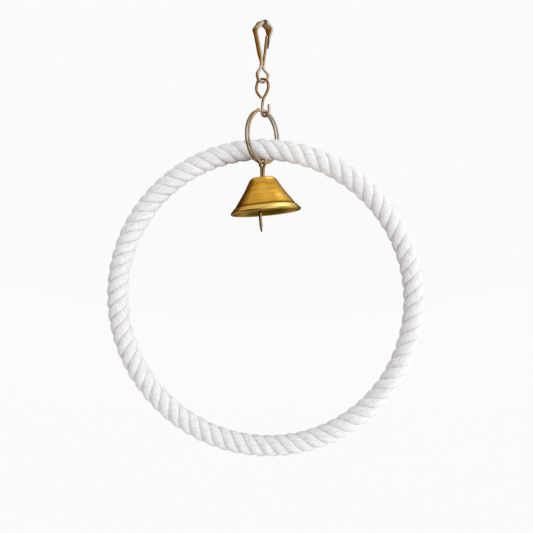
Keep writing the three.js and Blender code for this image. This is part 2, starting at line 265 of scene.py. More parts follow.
# %% Ramps, sums, noises and mixes
def ramp(tree, factor, *stops):
    """Colours along a factor, each given as (place, colour)."""
    node = add(tree, "ShaderNodeValToRGB", Fac=factor)
    elements = node.color_ramp.elements
    while len(elements) < len(stops):
        elements.new(1)
    for element, (place, colour) in zip(elements, stops):
        element.position, element.color = place, (*colour, 1)
    return node.outputs["Color"]


def math_node(tree, operation, *values):
    sockets = {f"i{k}": value for k, value in enumerate(values)}
    return add(tree, "ShaderNodeMath", {"operation": operation}, **sockets).outputs[0]


def noise(tree, place, scale, detail, settings=None, **sockets):
    """The grey of a noise texture."""
    sockets.update(Vector=place, Scale=scale, Detail=detail)
    return add(tree, "ShaderNodeTexNoise", settings, **sockets).outputs["Fac"]


def stretched_noise(tree, flat_map, scale, detail, **sockets):
    """A flat noise that is drawn out along one way of a map."""
    place = add(tree, "ShaderNodeMapping", Vector=flat_map, Scale=(*scale, 1.0)).outputs[0]
    return noise(tree, place, 1.0, detail, {"noise_dimensions": "2D"}, **sockets)


def mix(tree, share, first, second, blend="MIX"):
    """One colour laid over another by a share."""
    settings = {"data_type": "RGBA", "blend_type": blend}
    return add(tree, "ShaderNodeMix", settings, i0=share, i6=first, i7=second).outputs[2]


print("helpers:", *(helper.__name__ for helper in (ramp, math_node, noise, stretched_noise, mix)))

# %% [markdown]
# ## Cotton
# Each strand is a bundle of soft yarns. They were twisted the other way before the strands were laid, so on the
# outside they run along the rope. The strand's map holds that: one way along the rope, one way round it. A sine
# over the second gives the yarns, a long thin noise their fibres and another their grey streaks. The low places
# between strands are painted greyer: painted shade in the creases, on top of the shade the strands cast there.

# %% Cotton
YARNS_ROUND = 30.0
YARN_SLANT = 5.0
YARN_WANDER = 0.9

cotton, tree, shader = new_finish("cotton", Roughness=0.92, Sheen_Weight=0.25, Sheen_Roughness=0.5)
lay_map = add(tree, "ShaderNodeUVMap", {"uv_map": "lay"}).outputs[0]
parts = add(tree, "ShaderNodeSeparateXYZ", Vector=lay_map)
along_rope, round_rope = parts.outputs["X"], parts.outputs["Y"]
wander = noise(tree, lay_map, 26.0, 2.0, {"noise_dimensions": "2D"})
slanted = math_node(tree, "MULTIPLY", along_rope, YARN_SLANT)
yarn_place = math_node(tree, "MULTIPLY_ADD", round_rope, YARNS_ROUND, slanted)
yarn_place = math_node(tree, "MULTIPLY_ADD", wander, YARN_WANDER, yarn_place)
yarn = math_node(tree, "ABSOLUTE", math_node(tree, "SINE", math_node(tree, "MULTIPLY", yarn_place, math.pi)))
fibre = stretched_noise(tree, lay_map, (40.0, 150.0), 4.0)
height = math_node(tree, "MULTIPLY_ADD", fibre, 0.7, yarn)
bump = add(tree, "ShaderNodeBump", Strength=0.55, Distance=0.00022, Height=height)
tree.links.new(bump.outputs[0], shader.inputs["Normal"])
depth = add(tree, "ShaderNodeAttribute", {"attribute_name": "groove"}).outputs["Fac"]
# Painted shade: the cotton darkens towards the bottom of each crease between strands.
white = ramp(
    tree, depth, (0.0, (0.95, 0.947, 0.952)), (0.6, (0.94, 0.935, 0.936)), (0.86, (0.88, 0.867, 0.862)),
    (1.0, (0.70, 0.66, 0.64)))
streak = stretched_noise(tree, lay_map, (150.0, 44.0), 5.0, Roughness=0.62)
shade = ramp(tree, streak, (0.32, (0.83, 0.822, 0.832)), (0.5, (0.962, 0.958, 0.962)), (0.64, (1.0, 1.0, 1.0)))
tree.links.new(mix(tree, 1.0, white, shade, "MULTIPLY"), shader.inputs["Base Color"])
print("cotton has", len(tree.nodes), "nodes")

# %% [markdown]
# ## The rope ring
# Three strands are laid right-handed, with 25 turns round the ring. A laid strand isn't round: it is pressed
# against the two others and bulges only outwards, so its section is a third of a circle with a round crest. The
# section is set across the rope and turned a little at each step, which gives the lay without any twist modifier.
# The wire hoop inside the rope keeps the ring's shape, and it stays as the imported solid.

# %% The strand's section
ROPE_RADIUS = 7.9
CREASE_RADIUS = 6.25
HEART_RADIUS = 2.3
STRAND_HALF = math.radians(59.4)
CREST_POWER = 2.4
CREST_POINTS, HEART_POINTS = 37, 7

edge = np.sin(np.linspace(-math.pi / 2, math.pi / 2, CREST_POINTS))
crest_angles = STRAND_HALF * edge
heart_angles = STRAND_HALF * np.linspace(1, -1, HEART_POINTS) * 0.98
bulge = 1 - np.abs(edge) ** CREST_POWER
crest_radii = CREASE_RADIUS + (ROPE_RADIUS - CREASE_RADIUS) * bulge
section_angles = np.concatenate([crest_angles, heart_angles])
section_radii = np.concatenate([crest_radii, np.full(HEART_POINTS, HEART_RADIUS)])
groove = np.concatenate([1 - bulge, np.ones(HEART_POINTS)])
print("section points:", len(section_angles), "least radius", section_radii.min())

# %% The lay
RING_CENTRE = np.array([3.22, -2.74, -203.43])
RING_RADIUS = 109.5
OUT_OF_ROUND = 1.1
LAY_TURNS = 25
LAY_START = -0.277
LAY_DRIFT = ((0.181, -0.059), (0.099, 0.008), (0.006, -0.027), (0.020, 0.003))
RING_STEPS = 1500
PLUMPNESS, PLUMP_WAVES = 0.03, (7, 19, 31, 53, 88)
dice = np.random.default_rng(7)


def lay_turn(at):
    """How far the lay has turned at an angle round the ring. No hand-laid rope is quite even."""
    ahead = LAY_START + sum(
        c * np.cos((k + 1) * at) + s * np.sin((k + 1) * at) for k, (c, s) in enumerate(LAY_DRIFT))
    return LAY_TURNS * at + 2 * math.pi * ahead


def uneven(angles, size, waves):
    """A gentle unevenness that closes on itself round the ring."""
    total = np.zeros_like(angles)
    for wave in waves:
        total += np.sin(wave * angles + dice.uniform(0, 2 * math.pi)) * dice.uniform(0.4, 1)
    return size * total / len(waves)


print(f"one strand crosses the front {LAY_TURNS} times, and starts {lay_turn(0.0):.3f} radians round the rope")


# %% One strand and its map
def strand(number):
    """One strand's object, and the turn round the rope of each of its points."""
    sides = len(section_angles)
    at = np.linspace(0, 2 * math.pi, RING_STEPS, endpoint=False)
    outward = np.stack([np.sin(at), np.zeros_like(at), np.cos(at)], 1)
    centre = RING_CENTRE + (RING_RADIUS - OUT_OF_ROUND * np.sin(2 * at))[:, None] * outward
    turn = lay_turn(at) + 2 * math.pi * number / 3
    round_rope = turn[:, None] + section_angles
    plump = 1 + uneven(at, PLUMPNESS, PLUMP_WAVES)
    radii = np.where(groove < 1, section_radii * (1 + (plump[:, None] - 1) * (1 - groove)), section_radii)
    toward = np.sin(round_rope)[..., None] * outward[:, None] + np.cos(round_rope)[..., None] * AWAY
    points = (centre[:, None] + radii[..., None] * toward).reshape(-1, 3)
    piece = mesh_object(f"rope_strand_{number + 1}", points, ring_faces(RING_STEPS, sides, True))
    return piece, round_rope


def add_lay_map(piece, round_rope):
    """The map along and round the rope, in ring lengths and turns, and how deep each point lies in a groove."""
    sides = round_rope.shape[1]
    steps = np.arange(RING_STEPS + 1) / RING_STEPS
    around = np.vstack([round_rope, round_rope[:1] + 2 * math.pi * LAY_TURNS]) / (2 * math.pi)
    values = []
    for i in range(RING_STEPS):
        for j in range(sides):
            k = (j + 1) % sides
            for row, side in ((i, j), (i, k), (i + 1, k), (i + 1, j)):
                values += [steps[row], around[row, side]]
    piece.data.uv_layers.new(name="lay").data.foreach_set("uv", np.array(values, np.float32))
    depth = piece.data.attributes.new("groove", "FLOAT", "POINT")
    depth.data.foreach_set("value", np.tile(groove, RING_STEPS).astype(np.float32))


print("points in a strand:", RING_STEPS * len(section_angles))

# %% The three strands
for number in range(3):
    piece, round_rope = strand(number)
    add_lay_map(piece, round_rope)
    piece.data.materials.append(cotton)
    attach(piece, "rope")
    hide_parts(f"strand_{number + 1}")
    piece.visible_glossy = False
    print(piece.name, len(piece.data.polygons), "faces")

# %% [markdown]
# ## Plated wire
# The clip, the link, the split ring, the hanger and the clapper are bright plated steel that mirrors a warm room.
# The plate isn't even: a slow noise lets it yellow a little and a fine one roughens it. Some edges and spots are
# painted dark brown, painted shade that stands in for dark reflections. The gate, the link, the hanger and the
# clapper have gone amber, and the hook of the link is painted paler, a painted highlight.

# %% Plated wire
PAINTED_SHADE_COLOUR = (0.11, 0.05, 0.012, 1)
HIGHLIGHT_PLATE = (0.88, 0.85, 0.80, 1)
HIGHLIGHT_SPAN = 4


def plated(name, worn_colour, bright_colour, highlight_below=None):
    """A bright plate between two colours, with a fine grain. It may be painted paler below a height, a painted
    highlight.
    """
    material, tree, shader = new_finish(name, Metallic=1.0)
    place = add(tree, "ShaderNodeTexCoord").outputs["Object"]
    patina, grain = noise(tree, place, 160.0, 3.0), noise(tree, place, 900.0, 3.0)
    colour = ramp(tree, patina, (0.3, worn_colour), (0.7, bright_colour))
    # Painted highlight: below the given height the plate is painted paler.
    if highlight_below is not None:
        height = add(tree, "ShaderNodeSeparateXYZ", Vector=place).outputs["Z"]
        start, end = highlight_below * MM, (highlight_below - HIGHLIGHT_SPAN) * MM
        low = add(tree, "ShaderNodeMapRange", Value=height, From_Min=start, From_Max=end).outputs[0]
        colour = mix(tree, low, colour, HIGHLIGHT_PLATE)
    # Painted shade: a per-point attribute mixes dark brown into the plate, in place of dark reflections.
    painted_shade = add(tree, "ShaderNodeAttribute", {"attribute_name": "painted_shade"}).outputs["Fac"]
    tree.links.new(mix(tree, painted_shade, colour, PAINTED_SHADE_COLOUR), shader.inputs["Base Color"])
    tree.links.new(math_node(tree, "MULTIPLY_ADD", grain, 0.14, 0.06), shader.inputs["Roughness"])
    bump = add(tree, "ShaderNodeBump", Strength=0.04, Distance=0.0001, Height=grain)
    tree.links.new(bump.outputs[0], shader.inputs["Normal"])
    print(name, "has", len(tree.nodes), "nodes")
    return material


def add_painted_shade(piece, values):
    """How much painted shade each point gets."""
    spots = piece.data.attributes.new("painted_shade", "FLOAT", "POINT")
    spots.data.foreach_set("value", np.ravel(values).astype(np.float32))


plate = plated("warm_plate", (0.78, 0.71, 0.60), (0.90, 0.87, 0.82))
amber_plate = plated("amber_plate", (0.44, 0.26, 0.09), (0.72, 0.53, 0.30))
ring_plate = plated("ring_plate", (0.64, 0.48, 0.28), (0.93, 0.86, 0.73))
clapper_plate = plated("clapper_plate", (0.62, 0.42, 0.24), (0.90, 0.70, 0.48))
# Painted highlight: the link's hook, below this height, is painted paler.
link_plate = plated("link_plate", (0.42, 0.24, 0.075), (0.66, 0.45, 0.22), -57)

# %% [markdown]
# ## The snap clip
# One strip of steel makes the whole clip: it starts as the pointed tip of the hook, goes over the head, down the
# long limb, through the waist and round the eye. The strip is widest over the head. Its gate is the other end of
# the same strip, and moves by itself when it is pressed in. The gate starts with a round knuckle on its hinge's
# axis, which can turn without meeting the end of the body.

# %% The snap clip
CLIP_MIDDLE = 0.67 * CLIP_RIGHT
CLIP_REACH, LIMB_OUT, WAIST_OUT = 42.6, 6.7, 1.05
WAIST_RISE = -0.72 * CLIP_REACH
STRIP_THICKNESS, STRIP_CORNER = 1.6, 0.35
HEAD_WIDTH, LIMB_WIDTH, EYE_WIDTH, EYE_FLAT = 7.6, 4.2, 1.9, 0.8
TIP_WIDTH, TIP_THICKNESS = 0.3, 0.5
CREST, CREST_SPAN, CREST_OUT = 1.0, 2.6, 0.6
# Painted shade at the crest of the head, on the hook and along the back edge of the strip.
CREST_SHADE, CREST_SHADE_SPAN = 1.4, 1.6
HOOK_SHADE, HOOK_PLACE, HOOK_SPAN = 0.65, 0.055, 0.025
BACK_SHADE_START = 0.3


def smoothstep(value, low, high):
    share = np.clip((value - low) / (high - low), 0, 1)
    return share * share * (3 - 2 * share)


def strip_widths(centres):
    """Wide over the head, less along the limb, least round the eye, which was hammered flat on its left."""
    drop, left = -centres[:, 2], (CLIP_MIDDLE - centres) @ CLIP_RIGHT
    limb = HEAD_WIDTH + (LIMB_WIDTH - HEAD_WIDTH) * smoothstep(drop, 0.05 * CLIP_REACH, 0.21 * CLIP_REACH)
    eye_width = EYE_WIDTH + EYE_FLAT * smoothstep(left, 1.5, 3.8)
    return limb + (eye_width - limb) * smoothstep(drop, 0.5 * CLIP_REACH, -WAIST_RISE)


print("width at the top of the head:", strip_widths(CLIP_MIDDLE[None])[0], "mm")


# %% A strip that tapers, with painted shade
def strip(name, route, count, widths_of, tip_share, shade_along, end=0.15):
    """A strip in the clip's plane, which narrows to a tip over the first share of its length and has round ends."""
    shape = [(out * LIMB_OUT, rise * CLIP_REACH) for out, rise in route]
    centres = smooth_path(upright(CLIP_MIDDLE, CLIP_RIGHT, shape), count)
    taper = TIP_WIDTH + (1 - TIP_WIDTH) * np.clip(np.arange(count) / max(tip_share * count, 1), 0, 1)
    thin = np.maximum(taper, TIP_THICKNESS)
    sizes = zip(taper * widths_of(centres), STRIP_THICKNESS * thin, STRIP_CORNER * thin)
    sections = np.array([flat_section(*size) for size in sizes])
    from_top = (centres - CLIP_MIDDLE - CREST_OUT * CLIP_RIGHT) / CREST_SPAN
    sections[..., 1] -= (CREST * np.exp(-(from_top ** 2).sum(1)))[:, None] * (sections[..., 1] < 0)
    centres, sections = with_round_ends(centres, sections, end)
    piece = sweep(name, centres, CLIP_FRONT, sections)
    # Painted shade: the back edge of the strip, a spot on the hook and the crest of the head are painted dark.
    towards_back = sections[..., 0] / np.abs(sections[..., 0]).max(1, keepdims=True)
    back_edge = smoothstep(towards_back, BACK_SHADE_START, 1)
    along = np.linspace(0, 1, len(centres))[:, None]
    from_middle = (centres - CLIP_MIDDLE) / CREST_SHADE_SPAN
    crest = np.minimum(1, CREST_SHADE * np.exp(-(from_middle ** 2).sum(1)))[:, None]
    add_painted_shade(piece, np.maximum(np.maximum(back_edge, shade_along(along)), crest))
    return piece


def gate_widths(centres):
    return np.full(len(centres), EYE_WIDTH)


def hook_painted_shade(along):
    """Painted shade on the hook, a little way above its tip."""
    return HOOK_SHADE * np.exp(-((along - HOOK_PLACE) / HOOK_SPAN) ** 2)


print(f"the hook is darkest at {HOOK_PLACE:.1%} of the strip's length")

# %% Its body and gate
waist = WAIST_OUT / LIMB_OUT
KNUCKLE = STRIP_THICKNESS / 2
KNUCKLE_GAP, GATE_GAP = 0.2, 0.3
TIP_SHARE = 9 / 84
BODY_STEPS, GATE_STEPS = 420, 120

body_route = [
    (0.85, -0.41), (0.84, -0.31), (1.02, -0.11), (0.98, -0.06), (0.45, 0), (-0.1, STRIP_THICKNESS / 2 / CLIP_REACH),
    (-0.55, -0.045), (-0.96, -0.125), (-0.8, -0.255), (-0.44, -0.48), (-waist, -0.72), (-0.7, -0.9), (-0.4, -1),
    (0, -1 - STRIP_THICKNESS / 2 / CLIP_REACH), (0.5, -0.985), (0.84, -0.88),
    (waist, (WAIST_RISE - 2.4) / CLIP_REACH), (waist, (WAIST_RISE - KNUCKLE - KNUCKLE_GAP) / CLIP_REACH),
]
gate_rest = 0.94 - (STRIP_THICKNESS + GATE_GAP) / LIMB_OUT
gate_route = [
    (waist, WAIST_RISE / CLIP_REACH), (waist, (WAIST_RISE + 1.5) / CLIP_REACH), (0.25, -0.61), (0.42, -0.45),
    (gate_rest - 0.1, -0.29), (gate_rest, -0.2),
]
clip_body = strip("snap_clip", body_route, BODY_STEPS, strip_widths, TIP_SHARE, hook_painted_shade)
clip_gate = strip("snap_gate", gate_route, GATE_STEPS, gate_widths, 0, np.zeros_like, KNUCKLE)
print("clip faces:", len(clip_body.data.polygons), len(clip_gate.data.polygons))

# %% [markdown]
# ## The link
# A short piece of wire makes the link. Its eye hangs on the bar at the bottom of the clip's eye, and its tail is
# bent into an open hook round both turns of the split ring.

# %% The link
LINK_WIRE = 2.0
GRIP = np.array([2.813, 0.431, -65.6])
GRIP_RADIUS = 2.1
EYE_TOP, EYE_OUT, EYE_LENGTH = -41.0, 4.6, 14.4
EYE_RIGHT = level(-15)
EYE_SHAPE = [
    (-0.25, 0.95), (-0.95, 0.6), (-0.92, 0.27), (-0.56, 0.03), (0.05, 0), (0.66, 0.05), (1, 0.32), (0.86, 0.6),
    (0.48, 0.84), (0.2, 0.98),
]
HOOK_TIP_RISE = 5.2
LINK_STEPS = 360

hook_out = GRIP_RADIUS + LINK_WIRE / 2
eye = upright(CLIP_MIDDLE, EYE_RIGHT, [(out * EYE_OUT, EYE_TOP - drop * EYE_LENGTH) for out, drop in EYE_SHAPE])
hook_shape = [(-hook_out, 0.35 * HOOK_TIP_RISE)]
hook_shape += [(hook_out * math.cos(a), hook_out * math.sin(a)) for a in np.radians([180, 225, 270, 315, 360])]
hook_shape += [(hook_out, HOOK_TIP_RISE)]
link_path = smooth_path(np.vstack([eye, upright(GRIP, RING_AXIS, hook_shape)]), LINK_STEPS)
link_path, link_sections = with_round_ends(link_path, round_section(LINK_WIRE / 2), LINK_WIRE / 3)
link = sweep("wire_link", link_path, AWAY, link_sections)
print("link faces:", len(link.data.polygons))

# %% [markdown]
# ## The split ring
# The ring is flattened wire wound twice, as on a key ring. One crank takes the wire from the first turn over to the
# second, and the free end stands off a little. The two turns are never joined, so light falls between them. Their
# rims are painted dark, painted shade, and the broad sides keep the bright plate.

# %% The split ring
SPLIT_CENTRE = np.array([0.634, -2.74, -84.512])
SPLIT_RADIUS = 19.3
COIL_HEIGHT, COIL_THICKNESS, COIL_PITCH = 2.0, 1.1, 2.4
COIL_POWER, COIL_END, COIL_STEPS = 2.2, 0.3, 700
COIL_START, COIL_SWEEP, CRANK_SPAN = 8, 694, 26
END_LIFT, END_SPAN = 1.2, 14
RIM_SHADE, RIM_START, RIM_FULL = 0.95, 0.34, 0.47

turned = np.linspace(0, COIL_SWEEP, COIL_STEPS)
lifted = SPLIT_RADIUS + END_LIFT * smoothstep(turned, COIL_SWEEP - END_SPAN, COIL_SWEEP)
beside = COIL_PITCH * (smoothstep(turned, 360 - CRANK_SPAN, 360) - 0.5)
angle = np.radians(COIL_START + turned)
coil = SPLIT_CENTRE + (lifted * np.sin(angle))[:, None] * RING_RIGHT + (lifted * np.cos(angle))[:, None] * UP
coil = coil + beside[:, None] * RING_AXIS
coil, coil_sections = with_round_ends(coil, oval_section(COIL_THICKNESS, COIL_HEIGHT, COIL_POWER), COIL_END)
split_ring = sweep("split_ring_coil", coil, RING_AXIS, coil_sections)
# Painted shade: the rims of both turns, inside and outside, are painted dark.
towards_rim = np.abs(coil_sections[..., 1]) / COIL_HEIGHT
add_painted_shade(split_ring, RIM_SHADE * smoothstep(towards_rim, RIM_START, RIM_FULL))
print("split ring faces:", len(split_ring.data.polygons))

# %% [markdown]
# ## The bell's hanger
# A loop of thinner wire goes over both turns of the split ring, and its legs pass down through the bell's crown.
# They spread under the crown to carry the bell, and meet below to carry the clapper.

# %% The bell's hanger
HANGER_WIRE = 2.0
CROWN = np.array([0.634, -2.74, -114.312])
HANGER_DROP, HANGER_DEPTH = 10.5, 5.75
LOOP_OUT, LOOP_TOP = 3.0, 2.75
LEG_OUT, SHOULDER_DROP, LOWER_OUT = 1.25, 2.1, 4.15
HANGER_STEPS = 300

half = [
    (0.85 * LOOP_OUT, HANGER_DROP + 0.85 * LOOP_TOP), (LOOP_OUT, HANGER_DROP),
    (0.88 * LOOP_OUT, 0.86 * HANGER_DROP), (1.15 * LEG_OUT, 0.7 * HANGER_DROP), (LEG_OUT, 0.45 * HANGER_DROP),
    (LEG_OUT, -SHOULDER_DROP), (LOWER_OUT, -0.7 * HANGER_DEPTH), (0.7 * LOWER_OUT, -0.95 * HANGER_DEPTH),
]
loop = [(0, HANGER_DROP + LOOP_TOP), *half, (0, -HANGER_DEPTH), *((-out, rise) for out, rise in reversed(half))]
hanger_path = smooth_path(upright(CROWN, HANGER_RIGHT, loop), HANGER_STEPS, closed=True)
hanger = sweep("bell_wire", hanger_path, RING_RIGHT, round_section(HANGER_WIRE / 2), closed=True)
print("hanger faces:", len(hanger.data.polygons))

# %% [markdown]
# ## Brass
# The bell was spun from sheet brass over a former and brushed while it turned, so fine lines run round it. The
# bell's map has the turn one way and the skirt's length the other: a noise that is stretched along the turn gives
# the brushing, and a slower one the clouds of old brass. The lip and the crown are rubbed paler by handling, with
# small painted glints where worn, and the crease above the lip and the inside are painted brown: painted shade.

# %% Brass
RUBBED_BRASS, PAINTED_GLINT, PAINTED_SHADE_BROWN = (1.0, 0.80, 0.26, 1), (1.0, 0.96, 0.86, 1), (0.16, 0.085, 0.012, 1)

brass, tree, shader = new_finish("brushed_brass", Metallic=1.0)
spin_map = add(tree, "ShaderNodeUVMap", {"uv_map": "spin"}).outputs[0]
brushed = stretched_noise(tree, spin_map, (6.0, 130.0), 5.0)
cloud = stretched_noise(tree, spin_map, (9.0, 6.0), 3.0)
mixed = math_node(tree, "MULTIPLY_ADD", brushed, 0.55, math_node(tree, "MULTIPLY", cloud, 0.45))
gold = ramp(tree, mixed, (0.38, (0.56, 0.31, 0.03)), (0.5, (0.85, 0.56, 0.085)), (0.62, (0.97, 0.70, 0.15)))
worn = add(tree, "ShaderNodeAttribute", {"attribute_name": "worn"}).outputs["Fac"]
rubbed = math_node(tree, "MULTIPLY", worn, math_node(tree, "MULTIPLY_ADD", cloud, 1.2, 0.1))
gold = mix(tree, rubbed, gold, RUBBED_BRASS)
# Painted glints: small near-white flecks where the bell is worn.
fleck = stretched_noise(tree, spin_map, (150.0, 30.0), 2.0)
fleck = add(tree, "ShaderNodeMapRange", Value=fleck, From_Min=0.62, From_Max=0.72).outputs[0]
gold = mix(tree, math_node(tree, "MULTIPLY", worn, fleck), gold, PAINTED_GLINT)
# Painted shade: brown in the crease above the lip and over the inside.
bell_shade = add(tree, "ShaderNodeAttribute", {"attribute_name": "bell_shade"}).outputs["Fac"]
tree.links.new(mix(tree, bell_shade, gold, PAINTED_SHADE_BROWN), shader.inputs["Base Color"])
tree.links.new(math_node(tree, "MULTIPLY_ADD", brushed, 0.25, 0.12), shader.inputs["Roughness"])
bump = add(tree, "ShaderNodeBump", Strength=0.18, Distance=0.00015, Height=brushed)
tree.links.new(bump.outputs[0], shader.inputs["Normal"])
print("brushed_brass has", len(tree.nodes), "nodes")

# %% [markdown]
# ## The bell
# A spun shell is one profile turned round an axis. The Screw modifier could turn it, but the map for the brushing
# comes with the rings of points for free, so the profile is turned with numpy. It runs down the outside, round the
# rolled lip and up the inside, so the wall has its real thickness.

# %% The bell's profile
BELL_MOUTH, BELL_HEIGHT, BELL_CROWN = 26.1, 26.6, 6.5
BELL_WALL, CROWN_HOLE, LIP_DEPTH, RIM_RADIUS = 0.9, 3.25, 21.6, 1.2
BELL_TILT, BELL_SIDESTEP = 5.4, 0.1
BELL_SIDES, SKIRT_STEPS, BAND_STEPS, RIM_STEPS = 144, 90, 16, 18

outside = smooth_path([
    (CROWN_HOLE, 0, 0), (BELL_CROWN - 0.5, 0, 0), (7.7, 0.35, 0), (9.1, 1.25, 0), (10.2, 2.5, 0), (10.95, 3.8, 0),
    (13.5, 8.2, 0), (16.4, 12.7, 0), (19.5, 17.1, 0), (22.1, 20.8, 0), (22.5, LIP_DEPTH - 0.1, 0),
], SKIRT_STEPS)
rim_angles = np.radians(np.linspace(-60, 140, RIM_STEPS))
rim_middle = np.array([BELL_MOUTH - RIM_RADIUS, BELL_HEIGHT - RIM_RADIUS])
rim = rim_middle + RIM_RADIUS * np.stack([np.cos(rim_angles), np.sin(rim_angles)], 1)
band = smooth_path([
    (22.6, LIP_DEPTH + 0.1, 0), (23.15, LIP_DEPTH + 0.2, 0), (24.0, 22.7, 0), (25.0, 23.85, 0),
], BAND_STEPS)[:, :2]
lip = np.vstack([band, rim, [(22.9, 24.8), (21.9, LIP_DEPTH + 0.9)]])
lip = np.column_stack([lip, np.zeros(len(lip))])
inside = outside[::-1] + np.array([-BELL_WALL, BELL_WALL / 2, 0])
inside = inside[inside[:, 1] > 1.6]
crown_inside = np.array([
    (BELL_CROWN + 0.2, BELL_WALL + 0.2, 0), (BELL_CROWN - 1.2, BELL_WALL, 0), (CROWN_HOLE, BELL_WALL, 0),
])
profile = np.vstack([outside, lip, inside, crown_inside])[:, :2]
within = np.arange(len(profile)) >= len(outside) + len(lip) - 2
depth = profile[:, 1]
handled = smoothstep(depth, LIP_DEPTH, LIP_DEPTH + 0.7) + smoothstep(-depth, -3.0, -0.2)
worn = np.where(within, 0.3, handled)
# Painted shade in the crease above the lip and inside the bell.
bell_shade = np.where(within, 0.55, 0.9 * np.exp(-((depth - LIP_DEPTH + 0.3) / 0.8) ** 2))
print("profile points:", len(profile))

# %% The bell's shell
tilt = math.radians(BELL_TILT)
bell_axis = np.array([math.sin(tilt), 0, -math.cos(tilt)])
bell_side = np.array([math.cos(tilt), 0, math.sin(tilt)])
turn = np.linspace(0, 2 * math.pi, BELL_SIDES, endpoint=False)
spoke = np.cos(turn)[:, None] * bell_side - np.sin(turn)[:, None] * AWAY
bell_top = CROWN + BELL_SIDESTEP * np.array([1.0, 0, 0])
rings = bell_top + profile[:, 0][None, :, None] * spoke[:, None] + profile[:, 1][None, :, None] * bell_axis
bell = mesh_object("bell_spun_shell", rings.reshape(-1, 3), ring_faces(BELL_SIDES, len(profile), True))
run = np.concatenate([[0], np.cumsum(np.linalg.norm(np.diff(profile, axis=0), axis=1))]) / BELL_HEIGHT
spin = []
for i in range(BELL_SIDES):
    for j in range(len(profile)):
        low, high = run[j], run[j + 1] if j + 1 < len(run) else run[j]
        spin += [i / BELL_SIDES, low, i / BELL_SIDES, high, (i + 1) / BELL_SIDES, high, (i + 1) / BELL_SIDES, low]
bell.data.uv_layers.new(name="spin").data.foreach_set("uv", np.array(spin, np.float32))
for name, along_profile in (("worn", worn), ("bell_shade", bell_shade)):
    values = bell.data.attributes.new(name, "FLOAT", "POINT")
    values.data.foreach_set("value", np.tile(along_profile, BELL_SIDES).astype(np.float32))
print("bell faces:", len(bell.data.polygons))

# %% [markdown]
# ## The clapper
# The clapper is cut from flat stock: an eye at the top, a narrow tongue and a point to one side. A filled 2D curve
# with some depth and a small bevel gives just that, with the hole, and it is turned into a mesh at the end.

# %% The clapper
CLAPPER_PIVOT = np.array([0.312, -2.357, -120.062])
CLAPPER_LENGTH, CLAPPER_HALF, CLAPPER_THICKNESS = 34.4, 1.3, 1.4
CLAPPER_HEAD, CLAPPER_HOLE, CLAPPER_LEAN = 2.45, 1.65, 8
CLAPPER_BEVEL, EDGE_SHADE = 0.25, 0.9


def outline_curve(curve, points):
    spline = curve.splines.new("POLY")
    spline.points.add(len(points) - 1)
    for point, (x, y) in zip(spline.points, points):
        point.co = (x * MM, y * MM, 0, 1)
    spline.use_cyclic_u = True


def quadratic(start, pull, end, count=14):
    t = np.linspace(0, 1, count, endpoint=False)[:, None]
    return (1 - t) ** 2 * np.array(start) + 2 * t * (1 - t) * np.array(pull) + t ** 2 * np.array(end)


neck = math.asin(0.7 * CLAPPER_HALF / CLAPPER_HEAD) - math.pi / 2
head_angles = np.linspace(neck, math.pi - neck, 40, endpoint=False)
head = CLAPPER_HEAD * np.stack([np.cos(head_angles), np.sin(head_angles)], 1)
BEND = np.array([
    (-0.73, -0.5), (0.33, -0.87), (3.3, -1), (3.4, -0.865), (2.46, -0.767), (1.23, -0.63), (0.73, -0.5),
]) * (CLAPPER_HALF, CLAPPER_LENGTH)
tongue = np.vstack([quadratic(*BEND[0:3]), quadratic(*BEND[2:5]), quadratic(*BEND[4:7])])
shape = bpy.data.curves.new("clapper_outline", "CURVE")
shape.dimensions, shape.fill_mode = "2D", "BOTH"
shape.extrude = (CLAPPER_THICKNESS / 2 - CLAPPER_BEVEL) * MM
shape.bevel_depth, shape.bevel_resolution, shape.offset = CLAPPER_BEVEL * MM, 3, -CLAPPER_BEVEL * MM
outline_curve(shape, np.vstack([head, tongue, BEND[-1:]]))
outline_curve(shape, round_section(CLAPPER_HOLE, 28))
print("clapper outlines:", len(shape.splines))

# %% Its mesh, hung on the hanger
flat = bpy.data.objects.new("clapper_flat", shape)
bpy.context.scene.collection.objects.link(flat)
cut = bpy.data.meshes.new_from_object(flat.evaluated_get(bpy.context.evaluated_depsgraph_get()))
bpy.data.objects.remove(flat)
co = np.zeros(len(cut.vertices) * 3)
cut.vertices.foreach_get("co", co)
co = co.reshape(-1, 3) / MM
lean = math.radians(-CLAPPER_LEAN)
x = co[:, 0] * math.cos(lean) - co[:, 1] * math.sin(lean)
y = co[:, 0] * math.sin(lean) + co[:, 1] * math.cos(lean)
hung = CLAPPER_PIVOT + x[:, None] * RING_RIGHT + y[:, None] * UP + co[:, 2:] * RING_AXIS
clapper = mesh_object("clapper_tongue", hung, [tuple(face.vertices) for face in cut.polygons])
# Painted shade: the thin edges of the clapper are painted dark.
on_edge = np.abs(co[:, 2]) < 0.49 * CLAPPER_THICKNESS
add_painted_shade(clapper, EDGE_SHADE * on_edge)
print("clapper faces:", len(clapper.data.polygons))

# %% [markdown]
# ## Each piece on its body
# Every piece takes the place of the solid it was made from, and rides on that solid's body, so the joints move it.
# Parenting by hand would do the same for one piece, but a table of pieces is quicker to check.

# %% Each piece on its body
for piece, body, node, finish in (
    (clip_body, "clip", "clip_body", plate), (clip_gate, "gate", "clip_gate", amber_plate),
    (link, "link", "link", link_plate), (split_ring, "split_ring", "split_ring", ring_plate),
    (hanger, "hanger", "bell_hanger", amber_plate), (clapper, "clapper", "clapper", clapper_plate),
):
    piece.data.materials.append(finish)
    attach(piece, body)
    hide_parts(node)
    print(piece.name, "rides on", body)
bell.data.materials.append(brass)
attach(bell, "bell")
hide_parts("bell_shell")
print(bell.name, "rides on bell")

# %% [markdown]
# ## The hoop in the rope
# The hoop is drawn steel wire, dull and faintly lined. It is hidden by the strands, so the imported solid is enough.

